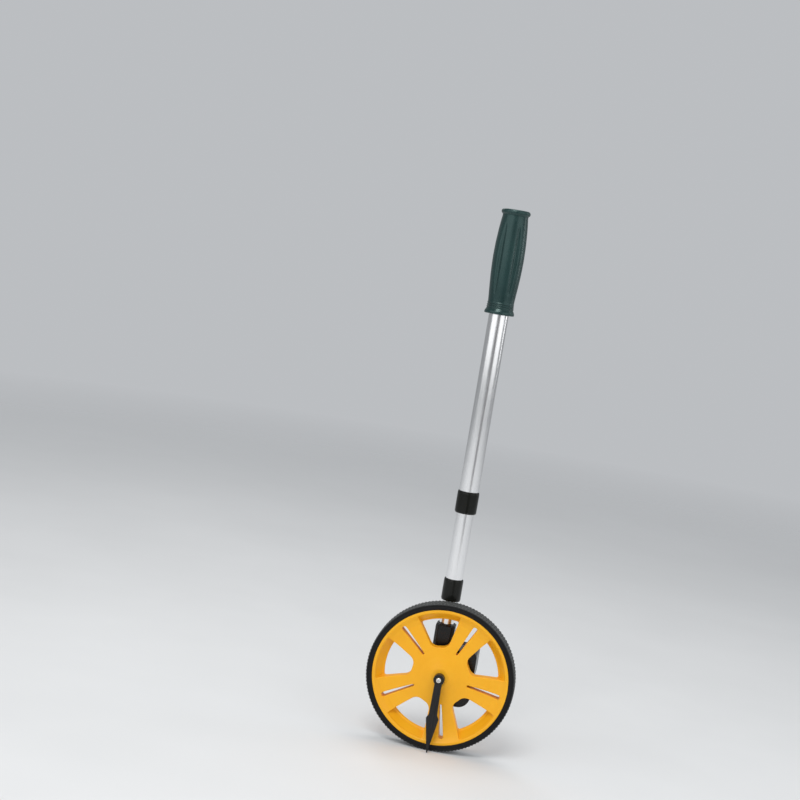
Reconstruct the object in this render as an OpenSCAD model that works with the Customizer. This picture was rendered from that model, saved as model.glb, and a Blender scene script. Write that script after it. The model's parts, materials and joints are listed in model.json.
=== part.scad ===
// Telescopic distance measuring wheel: a spoked half-metre wheel on a stub axle, a geared
// five-digit counter in a cast housing beside it, a swinging ground pointer, and a
// three-section twist-lock tube with a fluted hand grip.
// Frame: origin at the centre of the wheel, wheel axle along Y, the shaft rises along +Z.
// The wheel and pointer face -Y (front), the counter housing and the tubes are on the +Y side.

/* [Wheel] */
// Rolling diameter of the tyre: one turn is half a metre on the ground
wheel_d = 159; // [158:0.5:160]
// Diameter of the moulded disc that shows inside the tyre
disc_d = 145.6; // [145:0.2:146]
// Angle at which the disc is drawn, from the shaft line
disc_turn = -10; // [-36:1:36]
// Outer radius of the five openings in the disc
window_ro = 61; // [60:0.5:62]
// Inner radius of the five openings in the disc
window_ri = 31.5; // [30:0.5:33]

/* [Pointer] */
// Length of the pointer from the axle to its tip
pointer_l = 79; // [70:1:79]
// Half width of the arrow head at its barbs
barb_w = 6.8; // [6:0.5:9]

/* [Tubes] */
// Outer diameter of the top tube
top_d = 21; // [20.9:0.1:21.1]
// Outer diameter of the middle tube
mid_d = 18.5; // [18.4:0.1:18.6]
// Outer diameter of the bottom tube
low_d = 15.6; // [15.5:0.1:15.7]
// Wall of all three tubes
tube_t = 0.9; // [0.8:0.1:1]
// Height of the lower edge of the bottom collar above the axle, as drawn
collar1_z = 77.7; // [60:0.5:120]
// Height of the lower edge of the top collar above the axle, as drawn
collar2_z = 173.6; // [160:0.5:240]
// Length of each collar
collar_l = 23.8; // [22:0.2:28]

/* [Grip] */
// Length of the hand grip
grip_l = 110.7; // [100:0.1:120]
// Number of flutes round the grip
flutes = 6; // [4:1:8]

/* [Counter] */
// Radius of the figure drums
drum_r = 10; // [9.8:0.1:10]
// Depth of the counter box behind the wheel
box_y = 53.4; // [53.4:0.2:56]

/* [Hidden] */
$fn = 64;

// Colours used by more than one piece
case_black = [0.12, 0.12, 0.13];
knob_black = [0.10, 0.10, 0.11];
plain_black = [0.10, 0.10, 0.10];
plug_black = [0.16, 0.16, 0.17];
gear_white = [0.95, 0.95, 0.93];
tube_silver = [0.86, 0.86, 0.88];
shaft_steel = [0.78, 0.78, 0.80];
pin_steel = [0.75, 0.75, 0.77];
nut_steel = [0.72, 0.72, 0.74];
screw_steel = [0.70, 0.70, 0.72];

// Wheel
wheel_r = wheel_d / 2;
disc_r = disc_d / 2;
seat_r = disc_r - 1.8;    // tyre seat on the rim
tyre_front = -9;
tyre_rear = 11.3;
rim_front = -8.6;
flange_y = -7.4;          // rear face of the rim's front flange
spigot_r = 5.5;           // spigot that carries the drive gear
bush_r = 3.98;
axle_r = 3;

// Shaft line, as [X, Y]
shaft_at = [-5, 24];

// Fixings
screw_r = 1.25;
screw_pilot_r = 1.28;
screw_clear_r = 1.6;
tube_screw_r = 1.6;
tube_screw_z = 40;

// Gear train; places are [X, Z]
gear_module = 0.8;
hub_teeth = 20;
idler_big_teeth = 25;
idler_small_teeth = 15;
counter_teeth = 24;
drum_teeth = 20;
pinion_teeth = 8;
drum_at = [18, 14];
function centres(teeth_a, teeth_b) = gear_module * (teeth_a + teeth_b) / 2;
// The idler meshes with both the hub gear and the counter gear, on the lower right (+X, -Z)
hub_reach = centres(hub_teeth, idler_big_teeth);
counter_reach = centres(idler_small_teeth, counter_teeth);
drum_dist = norm(drum_at);
idler_along = (hub_reach^2 - counter_reach^2 + drum_dist^2) / (2 * drum_dist);
idler_aside = sqrt(hub_reach^2 - idler_along^2);
drum_dir = drum_at / drum_dist;
idler_at = idler_along * drum_dir + idler_aside * [drum_dir[1], -drum_dir[0]];
pinion_at = drum_at - [0, centres(drum_teeth, pinion_teeth)];
shaft_r = 1.5;            // drum shaft
shaft_hole_r = shaft_r + 0.03;
idler_pin_r = 1.25;
idler_hole_r = idler_pin_r + 0.02;
pinion_shaft_r = 0.8;
pinion_hole_r = pinion_shaft_r + 0.02;

// Drums, counted from the wheel side
drum_y0 = 23.4;
drum_pitch = 6.2;
drum_w = 4;
last_drum = 4;

// Tubes
top_r = top_d / 2;
mid_r = mid_d / 2;
low_r = low_d / 2;
top_bore = top_r - tube_t;
mid_bore = mid_r - tube_t;
low_bore = low_r - tube_t;
lip = 2.5;                // thickness of the guide lip in each collar
low_z0 = 22;
low_z1 = 323;
mid_z1 = 390;
top_z1 = 494;
grip_z0 = 388.5;

// ---- Outline helpers
function unit(v) = v / norm(v);
// Arc that rounds the corner at p to radius r
function corner(before, p, after, r, steps) =
    let (u = unit(before - p), v = unit(after - p), half = acos(u * v) / 2,
         centre = p + unit(u + v) * r / sin(half),
         start = p + u * r / tan(half) - centre,
         end = p + v * r / tan(half) - centre,
         a0 = atan2(start[1], start[0]),
         sweep = (atan2(end[1], end[0]) - a0 + 540) % 360 - 180)
    [for (k = [0:steps]) let (a = a0 + sweep * k / steps) centre + r * [cos(a), sin(a)]];
// Outline with each corner rounded to its own radius; 0 keeps the corner sharp
function rounded(points, radii, steps = 6) =
    let (n = len(points))
    [for (i = [0:n - 1]) each (radii[i] <= 0 ? [points[i]]
        : corner(points[(i + n - 1) % n], points[i], points[(i + 1) % n], radii[i], steps))];
// Point at radius r and angle a, measured from +Z towards +X
function polar(r, a) = [r * sin(a), r * cos(a)];

// ---- Solid helpers
// Extrude a plan drawn in X, Z from y0 to y1
module slab(y0, y1) {
    translate([0, y1, 0]) rotate([90, 0, 0]) linear_extrude(height = y1 - y0) children();
}
// Revolve an [r, y] outline about the Y axis
module turned(points) {
    rotate([-90, 0, 0]) rotate_extrude() polygon(points);
}
// Cone, rod and ring along Y, centred at the [X, Z] place
module cone_y(r1, r2, y0, y1, at = [0, 0]) {
    translate([at[0], y0, at[1]]) rotate([-90, 0, 0]) cylinder(r1 = r1, r2 = r2, h = y1 - y0);
}
module rod_y(r, y0, y1, at = [0, 0]) {
    translate([at[0], y0, at[1]]) rotate([-90, 0, 0]) cylinder(r = r, h = y1 - y0);
}
module ring_y(r, bore, y0, y1, at = [0, 0]) {
    difference() {
        rod_y(r, y0, y1, at);
        rod_y(bore, y0 - 1, y1 + 1, at);
    }
}
module rod_z(r, z0, z1) {
    translate([0, 0, z0]) cylinder(r = r, h = z1 - z0);
}
module tube_z(r, bore, z0, z1) {
    difference() {
        rod_z(r, z0, z1);
        rod_z(bore, z0 - 1, z1 + 1);
    }
}
module on_shaft() {
    translate([shaft_at[0], shaft_at[1], 0]) children();
}
module place(at) {
    translate([at[0], 0, at[1]]) children();
}
// Cutter for the cross recess in a screw head
module cross_recess(length, width, y0, y1, turn = 0) {
    for (a = [0, 90])
        slab(y0, y1) rotate(a + turn) square([length, width], center = true);
}

// ---- Involute gears, drawn in the X, Z plane
// phase is the angle of one tooth, from +X towards +Z
function involute_angle(r, base_r) =
    let (t = r > base_r ? sqrt(r * r / (base_r * base_r) - 1) : 0) t * 180 / PI - atan(t);
function gear_points(teeth, addendum, dedendum, backlash, steps) =
    let (pitch_r = teeth * gear_module / 2, base_r = pitch_r * cos(20),
         tip_r = pitch_r + addendum, root_r = pitch_r - dedendum,
         half_tooth = 90 / teeth - backlash / 2 / pitch_r * 180 / PI,
         start_r = max(root_r, base_r),
         radii = concat(root_r < base_r ? [root_r] : [],
             [for (k = [0:steps]) start_r + (tip_r - start_r) * k / steps]),
         // half the angle of a tooth at each radius
         spread = [for (r = radii)
             half_tooth + involute_angle(pitch_r, base_r) - involute_angle(r, base_r)],
         last = len(radii) - 1)
    [for (i = [0:teeth - 1]) let (mid = 360 * i / teeth) each concat(
        [for (k = [0:last]) radii[k] * [cos(mid - spread[k]), sin(mid - spread[k])]],
        [for (k = [last:-1:0]) radii[k] * [cos(mid + spread[k]), sin(mid + spread[k])]])];
module gear(teeth, y0, y1, at, phase, bore = 0,
            addendum = 0.76, dedendum = 1, backlash = 0.16, steps = 4) {
    place(at) difference() {
        slab(y0, y1) rotate(phase)
            polygon(gear_points(teeth, addendum, dedendum, backlash, steps));
        if (bore > 0)
            rod_y(bore, y0 - 1, y1 + 1);
    }
}
// Shorter, looser teeth between the drums and the transfer pinions
module transfer_gear(teeth, y0, y1, at, phase, bore = 0) {
    gear(teeth, y0, y1, at, phase, bore,
         addendum = 0.6, dedendum = 0.95, backlash = 0.3, steps = 3);
}
// Phase of a gear at q that meshes with one at p of the given phase
function mesh(p, q, p_teeth, q_teeth, p_phase) =
    let (a = atan2(q[1] - p[1], q[0] - p[0]))
    a + 180 + 180 / q_teeth - (p_phase - a) * p_teeth / q_teeth;
hub_phase = 0;
idler_big_phase = mesh([0, 0], idler_at, hub_teeth, idler_big_teeth, hub_phase);
idler_small_phase = 0;
counter_phase = mesh(idler_at, drum_at, idler_small_teeth, counter_teeth, idler_small_phase);
drum_phase = -90;
pinion_phase = mesh(drum_at, pinion_at, drum_teeth, pinion_teeth, drum_phase);

// ================= Wheel =================
// Front surface of the hub and spokes, as [r, y]
spoke_face = [
    [7, -8.4], [9.4, -8.4], [12, -7.6], [16, -6.3], [22, -4.9], [30, -3.8],
    [40, -3.2], [52, -3.3], [60, -4.2], [65, -5.7], [69, -7.8], [seat_r, -8.5]];
// Front surface of the recessed ledge between the spokes, as [r, y]
ledge_face = [
    [7, -8.3], [9.4, -8.3], [12, -7.2], [16, -5.0], [22, -1.2], [28, 2.6], [31.5, 4.2],
    [window_ro - 0.5, 4.4], [63.2, 2.4], [66.4, -2.8], [68.8, -6.6], [70, -8.2], [seat_r, -8.5]];
wall_rear = 6.8;          // rear edge of the stiffening walls
pocket_slope = 0.445;     // slope of a spoke edge against the centre line of an opening
spoke_root = 7;           // half width of a spoke, and the radius where it has that width

// Closed outline of a skin, thickness t behind its face
function skin(face, t) =
    concat(face, [for (i = [len(face) - 1:-1:0]) face[i] + [0, t]]);
// Five copies in the disc's plane, the first at angle a
module five(a) {
    for (i = [0:4])
        rotate(-(disc_turn + a + 72 * i)) children();
}
// Spokes with their edges drawn in by inset
module spokes_2d(inset) {
    half = spoke_root - inset;
    end_r = wheel_r - 1;
    end_half = half + (end_r - spoke_root) * tan(36 - atan(pocket_slope));
    five(36) polygon([[-half, spoke_root], [half, spoke_root], [end_half, end_r], [-end_half, end_r]]);
}
// Openings, grown by margin all round
module windows_2d(margin) {
    steps = 10;
    half_angle = 19.1 + margin * 0.94;
    half_base = 8.4 + margin;
    inner = window_ri - margin;
    outer_arc = [for (k = [0:steps])
        polar(window_ro + margin, half_angle - 2 * half_angle * k / steps)];
    inner_round = 8.8 + margin;
    outer_round = 1.8 + margin;
    radii = concat([inner_round, inner_round, outer_round],
        [for (k = [1:steps - 1]) 0], [outer_round]);
    five(0) polygon(rounded(concat([[-half_base, inner], [half_base, inner]], outer_arc), radii, 7));
}
// Tapered slots down the spokes, grown by margin all round
module slots_2d(margin) {
    inner = 29.5 - margin;
    outer = 66.2 + margin;
    half_in = 1 + margin;
    half_out = 2.5 + margin;
    five(36) polygon(rounded(
        [[-half_in, inner], [half_in, inner], [half_out, outer], [-half_out, outer]],
        [0.8 + margin, 0.8 + margin, 2 + margin, 2 + margin], 5));
}
module disc_slab() {
    slab(-12, 12) children();
}
module rim() {
    step_y = tyre_rear - 1.6;
    rear = tyre_rear - 0.4;
    turned([[disc_r, rim_front], [disc_r, flange_y], [seat_r, flange_y], [seat_r, step_y],
            [disc_r, step_y], [disc_r, rear], [68.6, rear], [68.6, -7.2], [69.6, -8.2],
            [70.2, rim_front]]);
}
module spoke_skin() {
    intersection() {
        turned(skin(spoke_face, 2.3));
        disc_slab() union() {
            spokes_2d(0);
            circle(r = 40);
        }
    }
}
module ledge_skin() {
    intersection() {
        turned(skin(ledge_face, 2.6));
        disc_slab() difference() {
            circle(r = seat_r - 0.2);
            spokes_2d(1.7);
            circle(r = 38.6);
        }
    }
}
// Space between the spoke face and the rear edge of the walls, within a plan
module wall() {
    intersection() {
        turned(concat(spoke_face, [[seat_r, wall_rear], [7, wall_rear]]));
        disc_slab() children();
    }
}
module wheel_disc() {
    color([0.95, 0.69, 0.13]) difference() {
        union() {
            rim();
            spoke_skin();
            ledge_skin();
            // wall round the inner end of each opening
            wall() intersection() {
                circle(r = 39.8);
                windows_2d(1.6);
            }
            // side walls of the spokes and walls round the slots
            wall() difference() {
                intersection() {
                    circle(r = 69);
                    union() {
                        difference() {
                            spokes_2d(0);
                            spokes_2d(1.8);
                        }
                        slots_2d(1.5);
                    }
                }
                circle(r = 8.6);
            }
            // hub, its stiffening ring and the spigot for the drive gear
            rod_y(9.2, -8.4, 8.6);
            ring_y(20, 18.4, -3, wall_rear);
            rod_y(spigot_r, 8, 18.4);
        }
        disc_slab() windows_2d(0);
        disc_slab() slots_2d(0);
        rod_y(bush_r + 0.02, -13, 22);
    }
}
module tyre() {
    seat = seat_r + 0.03;
    bead = disc_r + 0.03;
    bead_rear = tyre_rear - 1.64;
    bead_front = flange_y + 0.04;
    color([0.09, 0.09, 0.10]) difference() {
        turned([[seat, bead_front], [seat, bead_rear], [bead, bead_rear],
                [bead, tyre_rear - 0.6], [disc_r + 0.8, tyre_rear],
                [wheel_r - 1.5, tyre_rear], [wheel_r - 0.4, tyre_rear - 0.5],
                [wheel_r, tyre_rear - 1.5], [wheel_r, tyre_front + 1.5],
                [wheel_r - 0.4, tyre_front + 0.5], [wheel_r - 1.5, tyre_front],
                [disc_r + 0.8, tyre_front], [bead, -8.4], [bead, bead_front]]);
        // two grooves round the tread
        for (side = [-1, 1]) {
            y = (tyre_rear + tyre_front) / 2 + side * 3.6;
            ring_y(wheel_r + 1, wheel_r - 0.7, y - 0.5, y + 0.5);
        }
    }
}
module hub_bush() {
    color([0.92, 0.92, 0.88]) ring_y(bush_r, axle_r + 0.04, -8.35, 18.35);
}
module hub_gear() {
    color(gear_white) gear(hub_teeth, 13.4, 16.4, [0, 0], hub_phase, bore = spigot_r + 0.02);
}

// ================= Pointer and axle =================
// Outlines as [X, Z], each with its corner radii
arrow = [[-3.7, 0], [3.7, 0], [4.4, -38], [barb_w, -42.2], [0.5, -pointer_l],
         [-0.5, -pointer_l], [-barb_w, -42.2], [-4.4, -38]];
arrow_radii = [0, 0, 2, 0.8, 0.45, 0.45, 0.8, 2];
spine = [[-1.3, -8], [1.3, -8], [1.6, -40], [0.4, -70], [-0.4, -70], [-1.6, -40]];
spine_radii = [0.8, 0.8, 0, 0.3, 0.3, 0];
axle_tip_r = 2;           // front end, through the pointer
axle_stud_r = 2.5;        // rear end, through the housing
washer_r = 5.2;

module pointer() {
    color(knob_black) difference() {
        union() {
            rod_y(5.8, -17.2, -9.3);
            slab(-17.2, -14.6) polygon(rounded(arrow, arrow_radii, 4));
            slab(-17.9, -17) polygon(rounded(spine, spine_radii, 3));
        }
        rod_y(axle_tip_r + 0.05, -20, -5);
    }
}
module pointer_screw() {
    seat = -17.36;
    color([0.80, 0.80, 0.78]) difference() {
        union() {
            turned([[0, -19.5], [1.6, -19.4], [2.5, -18.9], [2.9, -18.1], [2.9, seat], [0, seat]]);
            rod_y(screw_r, -17.5, -8.5);
        }
        cross_recess(3.2, 0.75, -20, -18.2, 20);
    }
}
module axle() {
    color(nut_steel) difference() {
        union() {
            rod_y(axle_tip_r, -17.35, -8);
            rod_y(axle_r, -8.6, 20);
            rod_y(5, 19.05, 20.58);
            rod_y(axle_stud_r, 20, 30.4);
        }
        rod_y(screw_pilot_r, -20, -8);
    }
}
module front_washer() {
    color(pin_steel) ring_y(washer_r, axle_tip_r + 0.03, -9.2, -8.62);
}
module rear_washer() {
    color(pin_steel) ring_y(washer_r, axle_r + 0.04, 18.45, 19);
}
module axle_nut() {
    color(nut_steel) difference() {
        union() {
            translate([0, 25.6, 0]) rotate([-90, 30, 0]) cylinder(r = 4.5, h = 3.6, $fn = 6);
            rod_y(4.9, 25.02, 25.7);
        }
        rod_y(axle_stud_r + 0.02, 24, 32);
    }
}

// ================= Housing =================
case_front = 13;
wall_y0 = 20.6;           // front and rear of the wall between gear case and counter box
wall_y1 = 22.6;
// Outlines and places as [X, Z], outlines with their corner radii
case_outline = [[-15.5, 27], [-15.5, 8], [-11, -8], [-11, -33], [34, -33], [34, 28],
                [5.5, 28], [5.5, 27]];
case_radii = [0, 8, 10, 14, 13, 5, 0, 0];
cavity_outline = [[-13, 19.4], [-13, 8], [-8.6, -8], [-8.6, -30.6], [31.6, -30.6],
                  [31.6, 25.4], [8, 25.4], [8, 19.4]];
cavity_radii = [3, 6, 8, 11.6, 10.6, 2.6, 1, 1];
box_outline = [[5.3, -5], [34, -5], [34, 28], [5.3, 28]];
box_radii = [3, 5, 5, 2];
box_cavity_outline = [[7.6, -2.7], [31.7, -2.7], [31.7, 25.4], [7.6, 25.4]];
box_cavity_radii = [1.6, 2.8, 2.7, 1];
cover_screws_at = [[-10.2, 13.5], [17, -28], [-3.5, -25.6], [30, 7]];
rear_screws_at = [[8.4, 22.8], [29.2, 22.8], [9.4, -0.8], [29.4, -0.4]];

module case_2d() {
    polygon(rounded(case_outline, case_radii, 8));
}
module cavity_2d() {
    polygon(rounded(cavity_outline, cavity_radii));
}
module box_2d() {
    polygon(rounded(box_outline, box_radii));
}
module box_cavity_2d() {
    polygon(rounded(box_cavity_outline, box_cavity_radii, 5));
}
// Rectangle with cut corners round the shaft line, drawn in by inset
module neck_2d(inset) {
    hx = 10.5 - inset;
    hy = 10.7 - inset;
    cut = 3.4 - 0.4 * inset;
    polygon([[-hx, cut - hy], [cut - hx, -hy], [hx - cut, -hy], [hx, cut - hy],
             [hx, hy - cut], [hx - cut, hy], [cut - hx, hy], [-hx, hy - cut]]);
}
module neck() {
    on_shaft() {
        translate([0, 0, 19]) linear_extrude(height = 31.9) neck_2d(0);
        translate([0, 0, 50]) linear_extrude(height = 2) neck_2d(0.9);
    }
}
// Box over the drums, centred on them in X, drawn in by inset in X and Y
module over_drums(width, y, length, inset, z, height) {
    translate([drum_at[0] - width / 2 + inset, drum_y0 + y + inset, z])
        cube([width - 2 * inset, length - 2 * inset, height]);
}
// Opening over the figures, and the wider ledge above it
module opening_box(inset, z, height) {
    over_drums(12, -0.6, 29.2, inset, z, height);
}
module ledge_box(inset, z, height) {
    over_drums(14, -1.8, 31.3, inset, z, height);
}
module tube_screw_hole() {
    rod_y(tube_screw_r + 0.05, 26, 38, [shaft_at[0], tube_screw_z]);
}
module gear_case() {
    difference() {
        slab(case_front, 25) case_2d();
        slab(12, wall_y0) cavity_2d();
        slab(wall_y1, 30) box_cavity_2d();
        // recess in the rear face, low down
        slab(wall_y1, 30) difference() {
            cavity_2d();
            translate([-20, 2]) square([60, 60]);
        }
    }
}
module counter_box() {
    difference() {
        slab(wall_y0, box_y) box_2d();
        slab(wall_y1, box_y + 1) box_cavity_2d();
    }
}
module housing_body() {
    color(case_black) difference() {
        union() {
            gear_case();
            counter_box();
            neck();
            rod_y(6.4, wall_y0, 26.4);
            // screw posts
            for (p = cover_screws_at)
                rod_y(3, case_front, 20.8, p);
            for (p = rear_screws_at)
                rod_y(2.9, 22, box_y, p);
        }
        rod_y(axle_stud_r + 0.03, 12, 35);
        on_shaft() rod_z(low_r + 0.03, low_z0, 60);
        for (p = cover_screws_at)
            rod_y(screw_pilot_r, 12, 19.4, p);
        for (p = rear_screws_at)
            rod_y(screw_pilot_r, 45, box_y + 1, p);
        // shaft holes in the middle wall
        rod_y(shaft_hole_r, 20, 23, drum_at);
        rod_y(idler_hole_r, 20, 22, idler_at);
        rod_y(pinion_hole_r, 21.4, 23, pinion_at);
        // room for the axle nut
        rod_y(5.15, 25, 36);
        opening_box(0, 20, 12);
        ledge_box(0, 25.8, 4);
        tube_screw_hole();
    }
}
module gear_cover() {
    color(case_black) difference() {
        union() {
            slab(11.4, case_front - 0.02) case_2d();
            slab(11, 11.5) offset(delta = -0.8) case_2d();
            for (p = [drum_at, idler_at])
                rod_y(3, 12.5, 13.3, p);
        }
        rod_y(7.2, 10, 14);
        rod_y(shaft_hole_r, 12, 15, drum_at);
        rod_y(idler_hole_r, 12, 15, idler_at);
        for (p = cover_screws_at) {
            rod_y(screw_clear_r, 10, 15, p);
            cone_y(2.9, screw_clear_r, 10.98, 12.38, p);
        }
    }
}
module cover_screws() {
    color(screw_steel) for (p = cover_screws_at)
        place(p) difference() {
            union() {
                cone_y(2.75, screw_r, 11.05, 12.55);
                rod_y(screw_r, 12, 18.8);
            }
            cross_recess(2.8, 0.6, 10.5, 11.9, 15);
        }
}
module rear_cover() {
    color(case_black) difference() {
        union() {
            slab(box_y + 0.02, box_y + 2.1) box_2d();
            slab(box_y + 2, box_y + 2.6) offset(delta = -0.8) box_2d();
            rod_y(6.6, box_y + 1, box_y + 4.2, drum_at);
        }
        rod_y(2.55, box_y - 1, box_y + 6, drum_at);
        rod_y(pinion_hole_r, box_y - 1, box_y + 1.2, pinion_at);
        for (p = rear_screws_at)
            rod_y(screw_clear_r, box_y - 1, box_y + 4, p);
    }
}
// Domed screw with the underside of its head at y
module pan_screw(y, length) {
    difference() {
        union() {
            turned([[0, y + 2], [1.3, y + 1.9], [2.2, y + 1.4], [2.6, y + 0.6], [2.6, y], [0, y]]);
            rod_y(screw_r, y - length, y + 0.1);
        }
        cross_recess(2.8, 0.65, y + 0.9, y + 3, 30);
    }
}
module rear_cover_screws() {
    color(screw_steel) for (i = [0:3])
        place(rear_screws_at[i]) rotate([0, 23 * i, 0]) pan_screw(box_y + 2.62, 9);
}
module digit_mask() {
    color([0.06, 0.06, 0.06]) difference() {
        union() {
            opening_box(0.1, 25.3, 0.7);
            ledge_box(0.1, 25.82, 0.4);
        }
        for (k = [0:last_drum])
            over_drums(5.6, drum_pitch * k + 0.1, 3.8, 0, 25, 2);
    }
}
module window_lens() {
    color([0.85, 0.92, 0.95, 0.4]) intersection() {
        ledge_box(0.04, 26.24, 3);
        rod_y(33.4, 0, 70, [drum_at[0], -4.4], $fn = 128);
    }
}

// ================= Counter =================
module idler_pin() {
    color(pin_steel) rod_y(idler_pin_r, 12.1, 21.9, idler_at);
}
module idler_gear() {
    bore = idler_pin_r + 0.05;
    color(gear_white) union() {
        gear(idler_big_teeth, 13.6, 16.3, idler_at, idler_big_phase, bore);
        gear(idler_small_teeth, 16.3, 19.9, idler_at, idler_small_phase, bore);
    }
}
module drum_shaft() {
    color(shaft_steel) rod_y(shaft_r, 12.1, box_y + 3.4, drum_at);
}
module counter_gear() {
    color(gear_white) difference() {
        union() {
            gear(counter_teeth, 16.9, 19.8, drum_at, counter_phase);
            rod_y(3, 14, 17, drum_at);
        }
        rod_y(shaft_r + 0.01, 12, 24, drum_at);
    }
}
// k counts from the wheel side: 0 is thousands and 4 is tenths
module drum(k, c) {
    y = drum_y0 + drum_pitch * k;
    rear = y + drum_w;
    color(c) difference() {
        union() {
            // rim, web and boss
            ring_y(drum_r, 8.2, y, rear, drum_at);
            rod_y(8.4, y + 1.4, y + 2.6, drum_at);
            rod_y(3, y, rear + (k < last_drum ? 1.1 : 0), drum_at);
            if (k < last_drum)
                transfer_gear(drum_teeth, rear - 0.2, rear + 1.05, drum_at, drum_phase);
            // locking disc that works the transfer pinion, with two notches
            if (k > 0)
                difference() {
                    rod_y(6.9, y - 0.85, y + 1.5, drum_at);
                    for (side = [-1, 1])
                        place(drum_at) slab(y - 1, y + 0.4)
                            rotate(90 + 9 * side) translate([6.6, 0]) circle(r = 0.8);
                }
        }
        rod_y(shaft_r + (k == last_drum ? 0.01 : 0.05), y - 2, y + 8, drum_at);
    }
}
module drum_tenths() { drum(4, [0.75, 0.10, 0.08]); }
module drum_metres() { drum(3, plain_black); }
module drum_tens() { drum(2, plain_black); }
module drum_hundreds() { drum(1, plain_black); }
module drum_thousands() { drum(0, plain_black); }
// k is the drum on the wheel side of the pinion
module pinion(k) {
    y = drum_y0 + drum_pitch * k + drum_w;
    color([0.93, 0.93, 0.90])
        transfer_gear(pinion_teeth, y + 0.08, y + 2.1, pinion_at, pinion_phase,
                      pinion_shaft_r + 0.04);
}
module pinion_1() { pinion(3); }
module pinion_2() { pinion(2); }
module pinion_3() { pinion(1); }
module pinion_4() { pinion(0); }
module pinion_shaft() {
    color(shaft_steel) rod_y(pinion_shaft_r, 21.5, box_y + 1.1, pinion_at);
}
module reset_knob() {
    y = box_y + 4.4;
    color(knob_black) difference() {
        union() {
            rod_y(2.5, box_y - 1, y + 0.5, drum_at);
            rod_y(7.4, y, y + 1.2, drum_at);
            // ribbed barrel
            place(drum_at) slab(y + 1, y + 7.6)
                polygon([for (i = [0:71]) polar(i % 4 < 2 ? 7 : 6.5, i * 5)]);
            rod_y(5.6, y + 7, y + 8.2, drum_at);
        }
        rod_y(shaft_hole_r, box_y - 2, box_y + 3.8, drum_at);
        // groove for the clip
        ring_y(3, 2.1, box_y - 0.62, box_y - 0.02, drum_at);
    }
}
module knob_clip() {
    color(nut_steel) difference() {
        ring_y(3.9, 2.2, box_y - 0.55, box_y - 0.05, drum_at);
        translate([drum_at[0] - 1.2, box_y - 2, drum_at[1] - 6]) cube([2.4, 4, 6]);
    }
}

// ================= Tubes =================
module bottom_tube() {
    color(tube_silver) difference() {
        on_shaft() tube_z(low_r, low_bore, low_z0 + 0.05, low_z1);
        tube_screw_hole();
    }
}
module middle_tube() {
    color(tube_silver) on_shaft() tube_z(mid_r, mid_bore, collar1_z + lip, mid_z1);
}
module top_tube() {
    color(tube_silver) on_shaft() tube_z(top_r, top_bore, collar2_z + lip, top_z1);
}
// Collar pressed on a tube, with a lip that guides the tube sliding inside it
module collar(z, tube_r, inner_r, r) {
    end = z + collar_l;
    guide_r = inner_r + 0.08;
    seat = tube_r + 0.02;
    color(plain_black) on_shaft() rotate_extrude()
        polygon([[guide_r, z + 0.4], [inner_r + 0.55, z], [r - 1, z], [r - 0.3, z + 0.3],
                 [r, z + 1], [r, end - 0.8], [r - 0.25, end - 0.25], [r - 0.8, end],
                 [seat, end], [seat, z + lip], [guide_r, z + lip]]);
}
module bottom_collar() { collar(collar1_z, mid_r, low_r, 10.5); }
module top_collar() { collar(collar2_z, top_r, mid_r, 11.7); }
// Plug in the tube end at z, with the threaded spindle and wedge of the twist lock
module lock_core(z, bore, tube_r) {
    color(plug_black) on_shaft() union() {
        rod_z(bore - 0.02, z - 12, z + 0.1);
        rod_z(tube_r - 0.15, z + 0.02, z + 1.2);
        rod_z(3, z, z + 19.4);
        translate([0, 0, z + 10]) cylinder(r1 = 3, r2 = 5, h = 8.5);
        rod_z(5.6, z + 18.4, z + 21);
    }
}
// Split ring round the wedge, inside the next tube
module lock_ring(z, outer_bore) {
    r = outer_bore - 0.08;
    color([0.88, 0.88, 0.84]) on_shaft() difference() {
        rod_z(r, z + 1.4, z + 18.2);
        rod_z(3.1, z, z + 20);
        translate([0, 0, z + 9.9]) cylinder(r1 = 3.1, r2 = 5.35, h = 8.8);
        translate([-0.7, 0, z]) cube([1.4, 20, 22]);
        // four shallow grooves
        for (i = [0:3])
            tube_z(r + 1, r - 0.35, z + 3.4 + 3.6 * i, z + 4.4 + 3.6 * i);
    }
}
module bottom_lock_core() { lock_core(low_z1, low_bore, low_r); }
module bottom_lock_ring() { lock_ring(low_z1, mid_bore); }
module middle_lock_core() { lock_core(mid_z1, mid_bore, mid_r); }
module middle_lock_ring() { lock_ring(mid_z1, top_bore); }
module tube_screw() {
    seat = 34.75;
    color(nut_steel) place([shaft_at[0], tube_screw_z]) difference() {
        union() {
            turned([[0, 37.2], [1.6, 37.1], [2.8, 36.6], [3.4, 35.8], [3.4, seat], [0, seat]]);
            rod_y(tube_screw_r, 28, 35);
        }
        cross_recess(3.4, 0.8, 36, 38);
    }
}
module tube_plug() {
    color(plug_black) on_shaft() difference() {
        union() {
            rod_z(top_bore - 0.02, top_z1 - 10, top_z1 + 0.1);
            rod_z(top_r - 0.1, top_z1 + 0.02, top_z1 + 1);
        }
        rod_z(top_bore - 2.2, top_z1 - 12, top_z1 - 2);
    }
}

// ================= Grip =================
// Outline as [r, height above the lower end]
grip_outline = [
    [15.4, 0], [16, 0.8], [16, 2.6], [15.4, 3.6], [14.4, 5.2], [13.8, 6.2], [14.3, 6.9],
    [13.7, 8], [14.2, 8.8], [13.7, 9.9], [14.1, 10.8], [13.8, 12], [14.4, 20], [15.5, 34],
    [16.4, 50], [16.7, 62], [16.2, 76], [15.1, 90], [14.1, 100], [13.6, 104.4], [14.1, 105.6],
    [15.1, 106.4], [15.5, 107.6], [15.4, 109.2], [14.6, 110.3], [13.8, grip_l]];
flute_r = 3.6;
flute_at = 19.3;          // distance of a flute's centre line from the shaft line
flute_ends = [grip_z0 + 24, grip_z0 + 92];

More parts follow.
